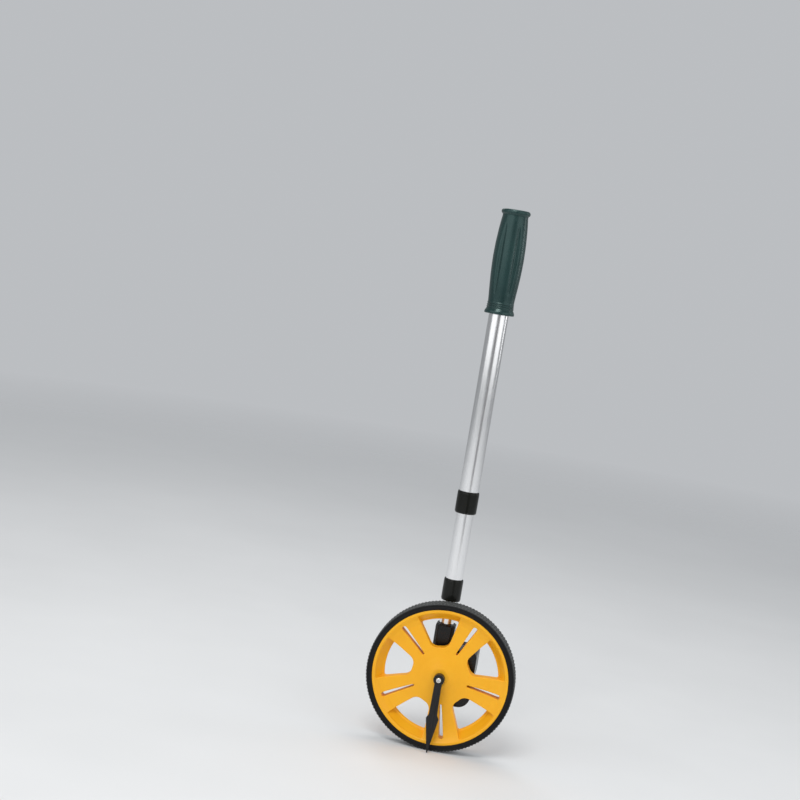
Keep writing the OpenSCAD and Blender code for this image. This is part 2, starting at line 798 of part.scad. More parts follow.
module grip() {
    color([0.13, 0.19, 0.18]) on_shaft() difference() {
        rotate_extrude() polygon(concat([[0, grip_z0]],
            [for (p = grip_outline) [p[0], grip_z0 + p[1]]], [[0, grip_z0 + grip_l]]));
        rod_z(top_r + 0.03, grip_z0 - 1, top_z1 + 1.1, $fn = 160);
        // round-ended flutes along the barrel
        for (i = [0:flutes - 1])
            rotate(-60 + 360 / flutes * i) translate([flute_at, 0, 0]) {
                rod_z(flute_r, flute_ends[0], flute_ends[1]);
                for (z = flute_ends)
                    translate([0, 0, z]) sphere(r = flute_r);
            }
    }
}

tyre();
wheel_disc();
hub_bush();
hub_gear();
pointer();
pointer_screw();
axle();
front_washer();
rear_washer();
axle_nut();
gear_cover();
cover_screws();
housing_body();
rear_cover();
rear_cover_screws();
digit_mask();
window_lens();
idler_pin();
idler_gear();
drum_shaft();
counter_gear();
drum_tenths();
drum_metres();
drum_tens();
drum_hundreds();
drum_thousands();
pinion_1();
pinion_2();
pinion_3();
pinion_4();
pinion_shaft();
reset_knob();
knob_clip();
bottom_tube();
tube_screw();
bottom_lock_core();
bottom_lock_ring();
middle_tube();
bottom_collar();
middle_lock_core();
middle_lock_ring();
top_tube();
top_collar();
tube_plug();
grip();
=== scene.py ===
# Looks for the telescopic measuring wheel: visible pieces are remodelled as moulded, turned and
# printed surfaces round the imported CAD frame, and every surface gets a procedural material.
# The wheel turns about the Y axis through the origin, the telescopic shaft stands along Z, and
# -Y is the front. Shapes are in millimetres, converted to metres as each mesh is made;
# textures, lights and the camera are in metres.
import json
import math

import bmesh
import bpy
from mathutils import Matrix, Vector


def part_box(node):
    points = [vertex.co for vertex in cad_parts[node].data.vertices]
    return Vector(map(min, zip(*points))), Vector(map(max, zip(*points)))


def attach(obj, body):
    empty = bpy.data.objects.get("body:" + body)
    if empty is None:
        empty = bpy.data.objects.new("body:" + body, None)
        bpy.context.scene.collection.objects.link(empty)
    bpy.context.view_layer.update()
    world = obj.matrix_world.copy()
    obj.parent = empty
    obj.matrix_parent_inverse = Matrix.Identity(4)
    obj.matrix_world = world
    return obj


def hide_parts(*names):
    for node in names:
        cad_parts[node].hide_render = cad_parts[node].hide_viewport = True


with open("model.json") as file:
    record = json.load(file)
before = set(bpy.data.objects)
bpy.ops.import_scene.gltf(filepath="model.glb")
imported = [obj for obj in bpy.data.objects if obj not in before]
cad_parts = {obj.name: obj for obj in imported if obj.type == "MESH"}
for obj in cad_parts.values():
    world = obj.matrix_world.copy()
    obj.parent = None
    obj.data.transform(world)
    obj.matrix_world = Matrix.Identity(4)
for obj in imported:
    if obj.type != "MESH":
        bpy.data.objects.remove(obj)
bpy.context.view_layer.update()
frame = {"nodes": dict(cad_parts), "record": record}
NODES = frame["nodes"]
MM = 0.001
SHAFT_X, SHAFT_Y = -5.0, 24.0   # axis of the telescopic shaft, along Z
DRUM_X, DRUM_Z = 18.0, 14.0     # axis of the counter drums, along Y
scene = bpy.context.scene
scene.view_settings.view_transform = "Standard"
scene.view_settings.look = "None"


# ------------------------------------------------------------------ mesh helpers (mm)
def shade(ob, angle):
    """Smooth shading, with edges sharper than the angle (degrees) kept crisp."""
    mesh = ob.data
    mesh.polygons.foreach_set("use_smooth", [True] * len(mesh.polygons))
    mesh.set_sharp_from_angle(angle=math.radians(angle))


def make(name, verts, faces, angle=35.0):
    mesh = bpy.data.meshes.new(name)
    mesh.from_pydata([(x * MM, y * MM, z * MM) for x, y, z in verts], [], faces)
    mesh.update()
    bm = bmesh.new()
    bm.from_mesh(mesh)
    bmesh.ops.remove_doubles(bm, verts=bm.verts, dist=1e-7)
    bmesh.ops.recalc_face_normals(bm, faces=bm.faces)
    bm.to_mesh(mesh)
    bm.free()
    ob = bpy.data.objects.new(name, mesh)
    scene.collection.objects.link(ob)
    shade(ob, angle)
    return ob


def evaluated_mesh(ob):
    depsgraph = bpy.context.evaluated_depsgraph_get()
    return bpy.data.meshes.new_from_object(ob.evaluated_get(depsgraph), depsgraph=depsgraph)


def bake(ob, angle):
    """Apply the object's modifiers and shade the result."""
    mesh = evaluated_mesh(ob)
    ob.modifiers.clear()
    ob.data = mesh
    mesh.name = ob.name
    shade(ob, angle)


def soft(points, steps):
    """Round the corners of a closed outline of (a, b, corner radius) points."""
    rounded = []
    for i, point in enumerate(points):
        before, corner = Vector(points[i - 1][:2]), Vector(point[:2])
        after = Vector(points[(i + 1) % len(points)][:2])
        radius = point[2]
        u, v = before - corner, after - corner
        u_length, v_length = u.length, v.length
        u, v = u / u_length, v / v_length
        opening = math.acos(max(-1, min(1, u.dot(v))))
        if radius <= 0 or opening > math.radians(176):
            rounded.append((corner.x, corner.y))
            continue
        # a corner takes less than half of either side, so neighbours never overlap
        setback = min(radius / math.tan(opening / 2), 0.48 * u_length, 0.48 * v_length)
        radius = setback * math.tan(opening / 2)
        centre = corner + (u + v).normalized() * (radius / math.sin(opening / 2))
        first, last = corner + u * setback, corner + v * setback
        start = math.atan2(first.y - centre.y, first.x - centre.x)
        end = math.atan2(last.y - centre.y, last.x - centre.x)
        sweep = (end - start + math.pi) % (2 * math.pi) - math.pi
        for k in range(steps + 1):
            a = start + sweep * k / steps
            rounded.append((centre.x + radius * math.cos(a), centre.y + radius * math.sin(a)))
    return rounded


def revolve(name, profile, axis="Z", at=(0, 0), seg=128, shape=None, angle=40.0):
    """Turn a closed (radius, height) outline about Z or Y; points at radius 0 become poles.

    shape(radius, height, turn) may move each point within its own half-plane.
    """
    polar, rows = [], []
    for radius, height in profile:
        if radius < 1e-6:
            rows.append([len(polar)] * seg)
            polar.append((0.0, height, 0.0))
            continue
        rows.append(list(range(len(polar), len(polar) + seg)))
        for k in range(seg):
            turn = 2 * math.pi * k / seg
            r, h = shape(radius, height, turn) if shape else (radius, height)
            polar.append((r, h, turn))
    verts = []
    for r, h, turn in polar:
        across, along = at[0] + r * math.cos(turn), at[1] + r * math.sin(turn)
        verts.append((across, along, h) if axis == "Z" else (across, h, along))
    faces = []
    for i, row in enumerate(rows):
        j = (i + 1) % len(rows)
        if profile[i][0] < 1e-6 and profile[j][0] < 1e-6:
            continue
        for k in range(seg):
            k2 = (k + 1) % seg
            quad = [row[k], row[k2], rows[j][k2], rows[j][k]]
            face = [v for n, v in enumerate(quad) if v != quad[n - 1]]
            if len(face) >= 3:
                faces.append(face)
    return make(name, verts, faces, angle)


def mould(node, voxel, rounds):
    """The CAD node's solid as a moulding: a voxel skin, relaxed so every edge gets a radius."""
    ob = bpy.data.objects.new(node + "_moulded", NODES[node].data.copy())
    scene.collection.objects.link(ob)
    bm = bmesh.new()
    bm.from_mesh(ob.data)
    bmesh.ops.remove_doubles(bm, verts=bm.verts, dist=2e-6)
    bm.to_mesh(ob.data)
    bm.free()
    skin = ob.modifiers.new("skin", "REMESH")
    skin.mode, skin.voxel_size = "VOXEL", voxel * MM
    skin.adaptivity, skin.use_smooth_shade = 0.0, True
    relax = ob.modifiers.new("relax", "SMOOTH")
    relax.factor, relax.iterations = 0.5, rounds
    bake(ob, 60.0)
    return ob


def dress(node):
    """A small CAD piece keeps its shape and gets a broken edge."""
    ob = NODES[node]
    weld = ob.modifiers.new("weld", "WELD")
    weld.merge_threshold = 2e-6
    edge = ob.modifiers.new("edge", "BEVEL")
    edge.width, edge.segments = 0.12 * MM, 2
    edge.limit_method, edge.angle_limit = "ANGLE", math.radians(40)
    edge.use_clamp_overlap = True


# ------------------------------------------------------------------ material kit
class Mat:
    """A node material. Its texture space is the piece's own coordinates in metres,
    so it moves with the piece."""

    def __init__(self, name, surface="ShaderNodeBsdfPrincipled"):
        self.material = bpy.data.materials.new(name)
        self.material.use_nodes = True
        self.tree = self.material.node_tree
        self.tree.nodes.clear()
        self.output = self.node("ShaderNodeOutputMaterial")
        self.surface = self.node(surface)
        self.link(self.surface.outputs[0], self.output.inputs["Surface"])
        self.coords = self.node("ShaderNodeTexCoord").outputs["Object"]
        self.normal = None

    def node(self, kind, **settings):
        node = self.tree.nodes.new(kind)
        for key, value in settings.items():
            setattr(node, key, value)
        return node

    def link(self, source, target):
        self.tree.links.new(source, target)

    def feed(self, socket, value):
        """Give a socket a number, a tuple (RGB gains an alpha of 1) or a link."""
        if isinstance(value, (int, float)):
            socket.default_value = value
        elif isinstance(value, tuple):
            whole = len(value) == len(socket.default_value)
            socket.default_value = value if whole else (*value, 1.0)
        else:
            self.link(value, socket)

    def set(self, **inputs):
        """Feed the surface shader's inputs; an underscore stands for a space."""
        for key, value in inputs.items():
            self.feed(self.surface.inputs[key.replace("_", " ")], value)

    def noise(self, scale, detail=4.0, rough=0.55, stretch=(1, 1, 1)):
        mapping = self.node("ShaderNodeMapping")
        mapping.inputs["Scale"].default_value = stretch
        self.link(self.coords, mapping.inputs["Vector"])
        texture = self.node("ShaderNodeTexNoise")
        texture.inputs["Scale"].default_value = scale
        texture.inputs["Detail"].default_value = detail
        texture.inputs["Roughness"].default_value = rough
        self.link(mapping.outputs[0], texture.inputs["Vector"])
        return texture.outputs["Fac"]

    def ramp(self, value, band, to=(0.0, 1.0)):
        """Map the band of values onto the range `to`."""
        node = self.node("ShaderNodeMapRange")
        node.inputs["From Min"].default_value, node.inputs["From Max"].default_value = band
        node.inputs["To Min"].default_value, node.inputs["To Max"].default_value = to
        self.link(value, node.inputs["Value"])
        return node.outputs[0]

    def mottle(self, scale, detail=4.0, rough=0.55, band=(0.3, 0.7), to=(0.0, 1.0)):
        """Noise mapped from a band onto a range."""
        return self.ramp(self.noise(scale, detail, rough), band, to)

    def math(self, operation, *values):
        node = self.node("ShaderNodeMath", operation=operation)
        for socket, value in zip(node.inputs, values):
            self.feed(socket, value)
        return node.outputs[0]

    def mix(self, factor, a, b):
        node = self.node("ShaderNodeMix", data_type="RGBA")
        # the colour sockets of a Mix node are inputs 6 and 7 and output 2
        for index, value in ((0, factor), (6, a), (7, b)):
            self.feed(node.inputs[index], value)
        return node.outputs[2]

    def distance(self, vector, *axes):
        """Length of a vector over two of its axes."""
        split = self.node("ShaderNodeSeparateXYZ")
        self.link(vector, split.inputs[0])
        squares = [self.math("MULTIPLY", split.outputs[a], split.outputs[a]) for a in axes]
        return self.math("SQRT", self.math("ADD", *squares))

    def bump(self, height, distance, strength=1.0):
        """Add a bump on top of any earlier one."""
        node = self.node("ShaderNodeBump")
        node.inputs["Strength"].default_value = strength
        node.inputs["Distance"].default_value = distance
        self.link(height, node.inputs["Height"])
        if self.normal is not None:
            self.link(self.normal, node.inputs["Normal"])
        self.normal = node.outputs[0]
        self.set(Normal=self.normal)

    def wear(self, pointiness, scale, band, amount):
        """Painted highlight along convex edges, broken up by noise."""
        sharp = self.node("ShaderNodeNewGeometry").outputs["Pointiness"]
        return self.math("MULTIPLY", self.ramp(sharp, pointiness),
                         self.mottle(scale, detail=5.0, band=band, to=(0.0, amount)))

    def cavity(self, distance, samples, band, amount):
        """Painted shade: a darkening share, strongest where surfaces meet."""
        occlusion = self.node("ShaderNodeAmbientOcclusion", samples=samples)
        occlusion.inputs["Distance"].default_value = distance
        return self.ramp(occlusion.outputs["AO"], band, (amount, 0.0))

    def see_through(self, factor, tint=(1.0, 1.0, 1.0)):
        """Mix the surface with plain transparency."""
        clear = self.node("ShaderNodeBsdfTransparent")
        self.feed(clear.inputs[0], tint)
        mixed = self.node("ShaderNodeMixShader")
        for socket, value in zip(mixed.inputs,
                                 (factor, self.surface.outputs[0], clear.outputs[0])):
            self.link(value, socket)
        self.link(mixed.outputs[0], self.output.inputs["Surface"])


# ------------------------------------------------------------------ materials
def plastic(name, base, dark, light, rough=0.38, grain=900.0, grain_depth=0.00002,
            edge=0.0, subsurface=0.0, cavity=0.0, specular=0.5):
    """Moulded plastic: slow tone drift, fine grain, painted highlights along the edges and
    painted shade in the corners.
    """
    m = Mat(name)
    color = m.mix(m.mottle(scale=35.0, detail=3.0), dark, light)
    color = m.mix(0.55, color, base)
    if cavity:
        # painted shade: darker where surfaces meet
        shadow = m.cavity(distance=0.004, samples=4, band=(0.2, 0.95), amount=cavity)
        color = m.mix(shadow, color, tuple(x * 0.45 for x in dark))
    if edge:
        # painted highlight: paler along convex edges
        wear = m.wear(pointiness=(0.52, 0.60), scale=160.0, band=(0.42, 0.66), amount=edge)
        color = m.mix(wear, color, tuple(min(1.0, x * 1.5 + 0.06) for x in light))
    m.set(Base_Color=color,
          Roughness=m.mottle(scale=60.0, detail=6.0, rough=0.65, to=(rough - 0.06, rough + 0.08)),
          IOR=1.5, Coat_Roughness=0.12, Specular_IOR_Level=specular)
    if subsurface:
        m.set(Subsurface_Weight=subsurface, Subsurface_Scale=0.002)
    m.bump(m.noise(scale=grain, detail=2.0, rough=0.6), grain_depth)
    m.bump(m.noise(scale=90.0, detail=2.0), 0.00006, strength=0.5)
    return m.material


def metal(name, base, rough, stretch, streak_scale, tint=0.06, bump=0.00001, smudge=0.06):
    """Metal with streaks in tone and polish, drawn out along the axis that `stretch` shrinks."""
    m = Mat(name)
    streak = m.noise(scale=streak_scale, detail=3.0, rough=0.6, stretch=stretch)
    color = m.mix(m.ramp(streak, band=(0.35, 0.65)), tuple(x * (1 - tint) for x in base),
                  tuple(min(1, x * (1 + tint * 0.5)) for x in base))
    dull = m.mottle(scale=25.0, band=(0.4, 0.8), to=(0.0, 0.25))
    color = m.mix(dull, color, tuple(x * 0.88 for x in base))
    roughness = m.math(
        "ADD", m.ramp(streak, band=(0.3, 0.7), to=(rough - 0.05, rough + 0.05)),
        m.mottle(scale=45.0, detail=5.0, rough=0.65, band=(0.35, 0.75), to=(-smudge / 2, smudge)))
    m.set(Base_Color=color, Metallic=1.0, Roughness=roughness)
    m.bump(streak, bump)
    return m.material


def yellow_abs(name):
    m = Mat(name)
    base, warm, pale = (0.925, 0.440, 0.010), (0.86, 0.385, 0.006), (0.95, 0.485, 0.016)
    color = m.mix(m.mottle(scale=22.0, detail=3.0, band=(0.35, 0.68)), warm, pale)
    color = m.mix(0.62, color, base)
    # painted shade: darker orange where surfaces meet
    shadow = m.cavity(distance=0.004, samples=6, band=(0.2, 0.85), amount=0.28)
    color = m.mix(shadow, color, (0.55, 0.20, 0.006))
    # painted highlight: paler along the moulding's convex edges
    wear = m.wear(pointiness=(0.53, 0.62), scale=120.0, band=(0.45, 0.7), amount=0.5)
    color = m.mix(wear, color, (0.96, 0.62, 0.14))
    m.set(Base_Color=color,
          Roughness=m.mottle(scale=55.0, detail=6.0, rough=0.65, to=(0.33, 0.48)),
          IOR=1.5, Specular_IOR_Level=0.35, Subsurface_Weight=0.06, Subsurface_Scale=0.0025,
          Subsurface_Radius=(1.0, 0.45, 0.1))
    m.bump(m.noise(scale=1300.0, detail=2.0, rough=0.6), 0.000022)
    m.bump(m.noise(scale=70.0, detail=2.0), 0.00010, strength=0.5)
    return m.material


def tyre_rubber(name):
    """Black rubber, paler on the tread from dust and a painted sheen."""
    m = Mat(name)
    tread = m.ramp(m.distance(m.coords, "X", "Z"), band=(0.0780, 0.0792))
    # dust and painted sheen: the tread is paler all round
    dust_and_sheen = m.math("MULTIPLY", tread, m.mottle(scale=420.0, detail=6.0, rough=0.7,
                                              band=(0.30, 0.75), to=(0.45, 1.0)))
    color = m.mix(m.mottle(scale=40.0, band=(0.35, 0.7)),
                  (0.006, 0.006, 0.0065), (0.010, 0.010, 0.0105))
    color = m.mix(dust_and_sheen, color, (0.082, 0.086, 0.085))
    m.set(Base_Color=color,
          Roughness=m.math("ADD", m.mottle(scale=80.0, detail=5.0, to=(0.40, 0.54)),
                           m.math("MULTIPLY", tread, 0.06)),
          IOR=1.45, Specular_IOR_Level=m.ramp(tread, band=(0.0, 1.0), to=(0.20, 0.5)))
    m.bump(m.noise(scale=1100.0, detail=3.0, rough=0.65), 0.00004)
    return m.material


def grip_vinyl(name):
    """Dark blue-green vinyl with a faint sheen."""
    m = Mat(name)
    color = m.mix(m.mottle(scale=30.0, band=(0.35, 0.7)),
                  (0.008, 0.026, 0.026), (0.014, 0.040, 0.039))
    # painted shade: darker where surfaces meet
    shadow = m.cavity(distance=0.003, samples=4, band=(0.3, 0.95), amount=0.6)
    color = m.mix(shadow, color, (0.004, 0.011, 0.011))
    # painted highlight: paler along convex edges
    wear = m.wear(pointiness=(0.51, 0.58), scale=140.0, band=(0.4, 0.7), amount=0.35)
    color = m.mix(wear, color, (0.035, 0.075, 0.072))
    m.set(Base_Color=color,
          Roughness=m.mottle(scale=70.0, detail=6.0, rough=0.65, to=(0.24, 0.34)),
          IOR=1.5, Specular_IOR_Level=0.55, Specular_Tint=(0.72, 1.0, 0.97),
          Sheen_Weight=0.03, Sheen_Roughness=0.4, Sheen_Tint=(0.7, 0.85, 0.83))
    m.bump(m.noise(scale=1000.0, detail=2.0, rough=0.6), 0.00004)
    m.bump(m.noise(scale=120.0, detail=3.0), 0.00010, strength=0.5)
    return m.material


def lens(name):
    m = Mat(name)
    m.set(Base_Color=(0.95, 0.98, 0.985),
          Roughness=m.mottle(scale=150.0, detail=6.0, rough=0.7, band=(0.45, 0.8),
                             to=(0.0, 0.05)),
          IOR=1.49, Transmission_Weight=1.0)
    m.bump(m.noise(scale=60.0, detail=2.0), 0.00002, strength=0.3)
    # light from outside reaches the figures straight through it
    rays = m.node("ShaderNodeLightPath").outputs
    clear = 0.72    # least share of plain transparency, for every kind of ray
    factor = m.math("MAXIMUM", rays["Is Shadow Ray"],
                    m.math("MAXIMUM", rays["Is Diffuse Ray"], clear))
    m.see_through(factor, tint=(0.92, 0.95, 0.96))
    return m.material


def ink(name, color):
    m = Mat(name)
    m.set(Base_Color=m.mix(m.mottle(scale=900.0), tuple(x * 0.86 for x in color), color),
          Roughness=m.mottle(scale=400.0, to=(0.45, 0.6)))
    return m.material


def grey(value):
    return (value, value, value)


EVEN = (1, 1, 1)    # noise stretch without a direction
# material slot: (builder, its values)
RECIPES = {
    "tyre_rubber": (tyre_rubber, {}),
    "yellow_plastic": (yellow_abs, {}),
    "black_plastic": (plastic, dict(
        base=(0.008, 0.008, 0.0085), dark=(0.006, 0.006, 0.0065), light=(0.012, 0.012, 0.0125),
        rough=0.26, grain=1400.0, grain_depth=0.000010, edge=0.35, specular=0.30)),
    "pointer_plastic": (plastic, dict(
        base=(0.013, 0.0135, 0.0145), dark=(0.010, 0.0105, 0.011), light=(0.018, 0.0185, 0.020),
        grain=1400.0, edge=0.4, specular=0.25)),
    "collar_plastic": (plastic, dict(
        base=(0.006, 0.0065, 0.005), dark=(0.004, 0.0045, 0.0035), light=(0.009, 0.0095, 0.0075),
        rough=0.20, grain=1600.0, grain_depth=0.000006, edge=0.5, specular=0.25)),
    "grip_pvc": (grip_vinyl, {}),
    "anodised_tube": (metal, dict(
        base=(0.86, 0.862, 0.872), rough=0.24, stretch=(1, 1, 0.012), streak_scale=1600.0,
        tint=0.03, bump=0.0000015, smudge=0.02)),
    "black_screw": (metal, dict(
        base=(0.06, 0.06, 0.065), rough=0.35, stretch=EVEN, streak_scale=700.0, tint=0.12)),
    "zinc_screw": (metal, dict(
        base=(0.74, 0.75, 0.74), rough=0.26, stretch=EVEN, streak_scale=700.0, tint=0.12)),
    "axle_steel": (metal, dict(
        base=(0.58, 0.58, 0.59), rough=0.24, stretch=(1, 6, 1), streak_scale=500.0)),
    "acetal_white": (plastic, dict(
        base=(0.78, 0.78, 0.73), dark=(0.70, 0.70, 0.64), light=(0.82, 0.82, 0.78),
        rough=0.42, subsurface=0.15, cavity=0.35)),
    "drum_black": (plastic, dict(
        base=grey(0.014), dark=grey(0.010), light=grey(0.020), rough=0.5)),
    "drum_red": (plastic, dict(
        base=(0.50, 0.022, 0.014), dark=(0.42, 0.015, 0.010), light=(0.56, 0.035, 0.024),
        rough=0.48)),
    "mask_black": (plastic, dict(
        base=grey(0.008), dark=grey(0.006), light=grey(0.012), rough=0.6)),
    "clear_lens": (lens, {}),
    "lock_plastic": (plastic, dict(
        base=(0.60, 0.60, 0.55), dark=(0.52, 0.52, 0.47), light=(0.66, 0.66, 0.62),
        rough=0.45, subsurface=0.1)),
    "core_plastic": (plastic, dict(
        base=(0.030, 0.030, 0.033), dark=(0.022, 0.022, 0.025), light=(0.04, 0.04, 0.043),
        rough=0.5)),
}
MATS = {name: build(name, **values) for name, (build, values) in RECIPES.items()}
WHITE_INK = ink("figure_white", (0.82, 0.82, 0.80))


def paint(ob, material):
    ob.data.materials.clear()
    ob.data.materials.append(material)


def piece(ob, body, slot, node):
    """Paint a remodelled piece, let it ride on its body and take over from its CAD node."""
    paint(ob, MATS[slot])
    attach(ob, body)
    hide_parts(node)


# every CAD node starts with its slot's material
for subpart in frame["record"]["subparts"]:
    paint(NODES[subpart["node"]], MATS[subpart["material_slot"]])


# ------------------------------------------------------------------ tyre
TYRE_RIBS = 132


def build_tyre():
    low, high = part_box("tyre")
    middle = (low.y + high.y) / 2 / MM
    half_width = (high.y - low.y) / 2 / MM - 0.02
    # half the section: (radius, height from the mid-plane, corner radius)
    half = [
        (71.06, half_width - 1.70, 0.1), (72.86, half_width - 1.67, 0.1),
        (72.86, half_width - 0.50, 0.25), (73.5, half_width, 0.3), (76.0, half_width, 0.15),
        (76.25, half_width - 0.28, 0.12), (76.75, half_width - 0.28, 0.12),
        (77.0, half_width, 0.15), (78.1, half_width, 0.5), (79.0, half_width - 0.45, 0.5),
        (79.42, half_width - 1.5, 0.5),
        # one of the two grooves round the tread
        (79.45, 4.35, 0.15), (78.75, 4.1, 0.12), (78.75, 3.2, 0.12), (79.45, 2.95, 0.15),
    ]
    mirrored = [(r, -h, corner) for r, h, corner in half[::-1]]
    profile = soft(half + [(79.48, 0.0, 0.0)] + mirrored, steps=2)

    def notch(ribs, half_share):
        """Depth share of the notch that recurs once per rib."""
        return min(1.0, max(0.0, (half_share - abs(ribs % 1.0 - 0.5)) / 0.05))

    def tread(r, h, turn):
        ribs = turn / (2 * math.pi) * TYRE_RIBS
        offset = h - middle
        if r > 77.9 and abs(offset) > 4.25:
            # shoulders: notched inwards, and at the sides towards the mid-plane too
            depth = notch(ribs, 0.24) * min(1.0, (r - 77.9) / 0.9)
            side = 0.22 * depth if abs(offset) > half_width - 1 else 0.0
            return r - 0.55 * depth, h - math.copysign(side, offset)
        if r > 79.2 and abs(offset) < 3.0:
            # centre band: shallower notches, half a rib out of step
            return r - 0.4 * notch(ribs + 0.5, 0.2), h
        return r, h

    return revolve("tyre_rubber_ring", [(r, h + middle) for r, h in profile], "Y",
                   seg=TYRE_RIBS * 10, shape=tread, angle=28.0)


piece(build_tyre(), "wheel", "tyre_rubber", "tyre")

# ------------------------------------------------------------------ mouldings and small parts
# CAD node, voxel size, relaxing rounds, body, material slot
MOULDINGS = (
    ("wheel_disc", 0.42, 5, "wheel", "yellow_plastic"),
    ("pointer", 0.22, 4, "pointer", "pointer_plastic"),
    ("housing_body", 0.42, 5, "frame", "black_plastic"),
    ("gear_cover", 0.32, 9, "frame", "black_plastic"),
    ("rear_cover", 0.32, 9, "frame", "black_plastic"),
    ("reset_knob", 0.2, 3, "reset", "black_plastic"),
    ("pointer_screw", 0.11, 2, "frame", "zinc_screw"),
    ("cover_screws", 0.13, 2, "frame", "black_screw"),
    ("rear_cover_screws", 0.13, 2, "frame", "zinc_screw"),
    ("tube_screw", 0.13, 2, "frame", "zinc_screw"),
)
for node, voxel, rounds, body, slot in MOULDINGS:
    piece(mould(node, voxel, rounds), body, slot, node)
for node in ("axle_nut", "front_washer", "rear_washer", "axle", "digit_mask", "idler_pin",
             "drum_shaft"):
    dress(node)


# ------------------------------------------------------------------ tubes
def node_radius(node):
    low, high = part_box(node)
    return (high.x - low.x) / 2 / MM


def z_span(node):
    low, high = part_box(node)
    return low.z / MM, high.z / MM


TUBE_WALL = 0.9
SCREW_HOLE = dict(radius=1.65, z=40, y_from=26, y_to=38)    # through one wall, at the +Y side
BOTTOM_R, MIDDLE_R, TOP_R = [node_radius(n) for n in ("bottom_tube", "middle_tube", "top_tube")]


def build_tube(node, outer):
    z0, z1 = z_span(node)
    inner = outer - TUBE_WALL
    section = [(inner, z0, 0.15), (outer, z0, 0.3), (outer, z1, 0.3), (inner, z1, 0.15)]
    return revolve(node + "_drawn", soft(section, steps=3), "Z", (SHAFT_X, SHAFT_Y), seg=160)


def drill_screw_hole(tube):
    radius, y0, y1 = SCREW_HOLE["radius"], SCREW_HOLE["y_from"], SCREW_HOLE["y_to"]
    drill = revolve("hole_tool", [(0, y0), (radius, y0), (radius, y1), (0, y1)], "Y",
                    (SHAFT_X, SCREW_HOLE["z"]), seg=32)
    hole = tube.modifiers.new("hole", "BOOLEAN")
    hole.operation, hole.solver, hole.object = "DIFFERENCE", "EXACT", drill
    bake(tube, 35.0)
    bpy.data.objects.remove(drill)


piece(build_tube("middle_tube", MIDDLE_R), "middle_section", "anodised_tube", "middle_tube")
piece(build_tube("top_tube", TOP_R), "top_section", "anodised_tube", "top_tube")
bottom_tube = build_tube("bottom_tube", BOTTOM_R)
drill_screw_hole(bottom_tube)
piece(bottom_tube, "frame", "anodised_tube", "bottom_tube")


# ------------------------------------------------------------------ collars
def build_collar(node, tube, guide, outer):
    """A collar round the foot of one tube that also rings the tube below, its guide (radii)."""
    z0, z1 = z_span(node)
    top = z0 + (z1 - z0)
    bore, seat = guide + 0.08, tube + 0.05
    ledge = z0 + 2.5    # where the bore changes from the guide's size to the tube's
    section = [
        # (radius, height, corner radius): lower lip
        (bore, z0 + 0.5, 0.2), (bore + 0.6, z0, 0.3), (outer - 0.5, z0, 0.5),
        (outer - 0.28, z0 + 0.9, 0.35), (outer, z0 + 1.5, 0.2),
        # step and upper lip
        (outer, top - 2.0, 0.2), (outer - 0.22, top - 1.5, 0.2), (outer - 0.22, top - 0.9, 0.2),
        (outer - 0.55, top, 0.45),
        # bore
        (seat, top, 0.25), (seat, ledge, 0.1), (bore, ledge, 0.2),
    ]
    return revolve(node + "_turned", soft(section, steps=4), "Z", (SHAFT_X, SHAFT_Y), seg=160)


piece(build_collar("bottom_collar", tube=MIDDLE_R, guide=BOTTOM_R, outer=10.5),
      "middle_section", "collar_plastic", "bottom_collar")
piece(build_collar("top_collar", tube=TOP_R, guide=MIDDLE_R, outer=11.7),
      "top_section", "collar_plastic", "top_collar")


# ------------------------------------------------------------------ grip
# (height from the lower end, radius), before the barrel's fullness is added
GRIP_OUTLINE = [
    # flared lower end
    (0.0, 14.9), (0.5, 15.35), (1.4, 15.5), (2.6, 15.35), (3.6, 14.9), (4.8, 14.15),
    # beads
    (5.8, 13.55), (6.2, 13.45), (6.6, 13.75), (7.2, 13.85), (7.7, 13.6), (8.0, 13.2),
    (8.3, 13.15), (8.7, 13.55), (9.3, 13.65), (9.8, 13.4), (10.1, 13.0), (10.4, 12.95),
    (10.8, 13.3), (11.4, 13.4), (11.9, 13.2), (12.3, 12.95),
    # barrel
    (13.0, 12.95), (16.0, 13.0), (20.0, 13.2), (27.0, 13.6), (34.0, 14.0), (42.0, 14.4),
    (50.0, 14.7), (60.0, 14.9), (68.0, 14.8), (76.0, 14.6), (84.0, 14.2), (90.0, 13.9),
    (96.0, 13.5), (100.0, 13.2), (103.0, 12.98), (104.4, 12.95),
    # upper rim
    (105.2, 13.2), (105.9, 13.9), (106.5, 14.55), (107.3, 14.92), (108.2, 15.0),
    (109.1, 14.85), (109.9, 14.4), (110.4, 13.9),
]
GRIP_END_R = 13.3
GRIP_STATION = 1.4                  # least spacing of rings between outline points
FLUTE_PITCH = math.radians(60)
FLUTE_HALF_WIDTH = math.radians(12.5)
FLUTE_DEPTH = 1.75
FLUTE_FROM, FLUTE_TO = 21.0, 95.0   # heights from the lower end


